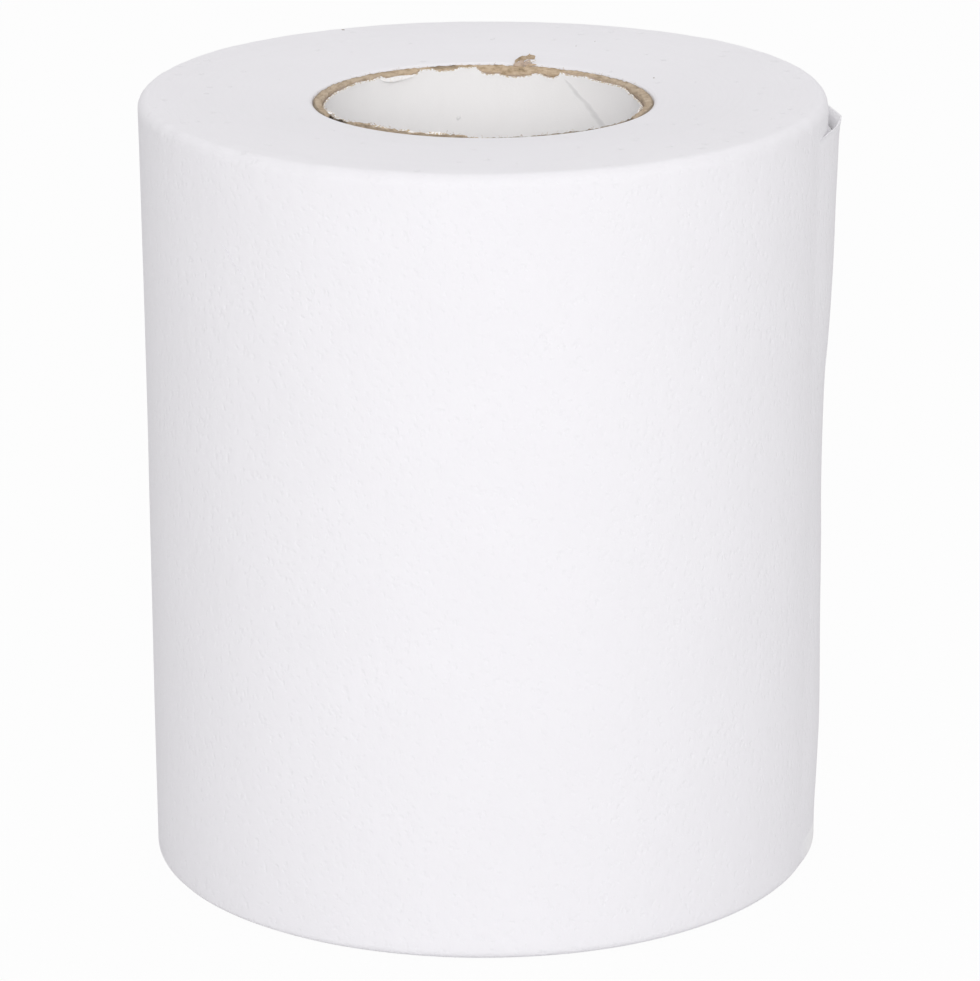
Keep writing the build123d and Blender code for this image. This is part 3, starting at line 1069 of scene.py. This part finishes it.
def fibre_growth(name, sizes, mark, material):
    """A tree that scatters bent fibres over a surface where it carries a mark."""
    bench, size = new_growth(name, sizes)
    surface = bench.node("GeometryNodeObjectInfo", {}, {"Object": size["Surface"]}, "Geometry")
    where = bench.node("GeometryNodeInputNamedAttribute", {"data_type": "FLOAT"}, {"Name": mark})
    density = size["Fibres per mm2"] * 1e6 * bench.ramp(where, 0.3, 1.0)
    points = bench.node("GeometryNodeDistributePointsOnFaces", {"distribute_method": "RANDOM"},
                        {"Mesh": surface, "Density": density, "Seed": size["Seed"]}, "Points")
    long = size["Length"] * MM
    path = bench.node("GeometryNodeCurveQuadraticBezier", {}, {
        "Resolution": 4, "Start": (0.0, 0.0, 0.0), "Middle": bench.vector(long * 0.1, 0.0, long * 0.7),
        "End": bench.vector(long * 0.8, long * 0.2, long * 0.75)})
    ring = bench.node("GeometryNodeCurvePrimitiveCircle", {}, {
        "Resolution": 3, "Radius": size["Thickness"] * MM * 0.5})
    fibre = bench.node("GeometryNodeCurveToMesh", {}, {"Curve": path, "Profile Curve": ring, "Fill Caps": True})
    turned = bench.node("FunctionNodeRandomValue", {"data_type": "FLOAT_VECTOR"}, {
        "Min": (-0.7, -0.7, 0.0), "Max": (0.7, 0.7, 6.283), "Seed": size["Seed"] + 1})
    turned = bench.node("FunctionNodeRotateRotation", {"rotation_space": "LOCAL"},
                        {"Rotation": points.pick("Rotation"), "Rotate By": turned})
    sized = bench.node("FunctionNodeRandomValue", {"data_type": "FLOAT"}, {
        "Min": 0.45, "Max": 1.35, "Seed": size["Seed"] + 2})
    spread = bench.node("GeometryNodeInstanceOnPoints", {}, {
        "Points": points, "Instance": fibre, "Rotation": turned, "Scale": sized})
    marked = bench.node("GeometryNodeStoreNamedAttribute", {"data_type": "FLOAT", "domain": "INSTANCE"},
                        {"Geometry": spread, "Name": mark, "Value": 1.0})
    close_growth(bench, marked, material)
    return bench


board_fibres = grow("board_fibres", fibre_growth("board_fibres", FIBRES, "torn", board), FIBRES)
finish_piece(board_fibres)

# %% Liner fibres
PAPER_FIBRES = {"Surface": liner_ply, "Fibres per mm2": 5.0, "Length": 0.15, "Thickness": 0.022, "Seed": 11}
liner_fibres = grow("liner_fibres", fibre_growth("liner_fibres", PAPER_FIBRES, "torn", liner), PAPER_FIBRES)
finish_piece(liner_fibres)

# %% Fibres on the tuft
for number, piece in enumerate(frayed):
    sizes = {"Surface": piece, "Fibres per mm2": 6.0, "Length": 0.24, "Thickness": 0.026, "Seed": 21 + number}
    name = f"flake_fibres_{number + 1}"
    fuzz = grow(name, fibre_growth(name, sizes, "torn", piece.data.materials[0]), sizes)
    finish_piece(fuzz)

# %% [markdown]
# ## Flecks and a stray fibre
# Pulp keeps a few dark flecks: one lies on the end beside the tube, one at the back edge, two faint ones behind
# the tuft, and one on the liner. On the side a single long fibre lies across the crepe. A fleck is a small bent
# disc that is pressed into the surface, so it is made from a ring of points that rises by a few hundredths.

# %% Fleck helper
def fleck(name, place, out, size, material, marks):
    """A small ragged disc that lies on a surface with its middle raised along the outward direction."""
    place = Vector(place)
    out = Vector(out).normalized()
    side = out.orthogonal().normalized()
    other = out.cross(side)
    columns = []
    for step in range(11):
        turn = 2 * pi * step / 11
        ragged = size * (0.75 + 0.4 * noise.noise(place + Vector((3 * cos(turn), 3 * sin(turn), 0.0))))
        rim = side * cos(turn) * ragged + other * sin(turn) * ragged
        columns.append((rim, rim * 0.55))
    points = [place - out * 0.05, place + out * 0.05]
    points += [place + rim - out * 0.03 for rim, inner in columns]
    points += [place + inner + out * 0.035 for rim, inner in columns]
    faces = []
    for step in range(11):
        after = (step + 1) % 11
        faces.append((0, 2 + after, 2 + step))
        faces.append((2 + step, 2 + after, 13 + after, 13 + step))
        faces.append((13 + step, 13 + after, 1))
    return set_outwards(piece_from(name, points, faces, material, marks))


def end_level(x, y):
    """Height of the winding's upper end at a place in mm, read from the finished mesh."""
    spot = Vector((x, y)) * MM
    above = [v.co for v in winding.data.vertices if v.co.z > 0.1]
    return min(above, key=lambda co: (co.xy - spot).length).z / MM


print("upper end at the first fleck:", round(end_level(22.8, 11.5), 2), "mm")

# %% Flecks
dark_pulp, bench = new_material("dark_pulp")
place = in_millimetres(bench)
specks = bench.grain(place, 6.0, 2.0, 0.6)
fleck_colour = bench.blend(specks, (0.16, 0.13, 0.10, 1.0), (0.42, 0.36, 0.29, 1.0))
close_material(bench, bench.node("ShaderNodeBsdfPrincipled", {}, {
    "Base Color": fleck_colour, "Roughness": 0.85 + specks * 0.1, "Specular IOR Level": 0.2}))

# Each fleck's radius and angle on the end, and its size.
FLECKS = [(25.5, 26.7, 0.26), (43.0, 117.0, 0.40), (34.6, 63.6, 0.12), (31.7, 66.3, 0.11)]
for number, (radius, angle, size) in enumerate(FLECKS):
    x = radius * cos(radians(angle))
    y = radius * sin(radians(angle))
    spot = (x, y, end_level(x, y))
    finish_piece(fleck(f"pulp_fleck_{number + 1}", spot, (0.0, 0.0, 1.0), size, dark_pulp, {}))
angle = radians(99.3)
spot = (LINER_IN * cos(angle), LINER_IN * sin(angle), 95.84)
inwards = (-spot[0], -spot[1], 0.0)
finish_piece(fleck("liner_fleck", spot, inwards, 0.5, liner, {"seam": 0.3, "torn": 0.0}))

# %% Stray fibre
STRAY_FROM = -136.9  # where it starts and how far it runs round the roll, in degrees
STRAY_SWEEP = 5.2
STRAY_TOP = 91.5  # its upper end and how far it drops, in mm
STRAY_DROP = 3.5
STRAY_RADIUS = 44.91  # at mid height, where the roll is narrowest
STRAY_STEPS = 32
columns = []
for step in range(STRAY_STEPS + 1):
    share = step / STRAY_STEPS
    angle = radians(STRAY_FROM + STRAY_SWEEP * share)
    level = STRAY_TOP - STRAY_DROP * share + 0.22 * sin(7 * share) - 0.15 * sin(15 * share)
    radius = STRAY_RADIUS + ROLL["Flare"] * ((level - 52.0) / 51.0) ** 2
    thick = 0.05 * (1 - 0.7 * abs(2 * share - 1) ** 3)
    out = Vector((cos(angle), sin(angle), 0.0))
    spot = out * radius + Vector((0.0, 0.0, level))
    along = Vector((-sin(angle), cos(angle), 0.85)).normalized()
    columns.append([spot + (out * cos(t) + along * sin(t)) * thick for t in (0.0, 1.26, 2.51, 3.77, 5.03)])
stray_fibre = closed_sheet("stray_fibre", columns, tissue, {"end_face": 0.0})
finish_piece(stray_fibre)
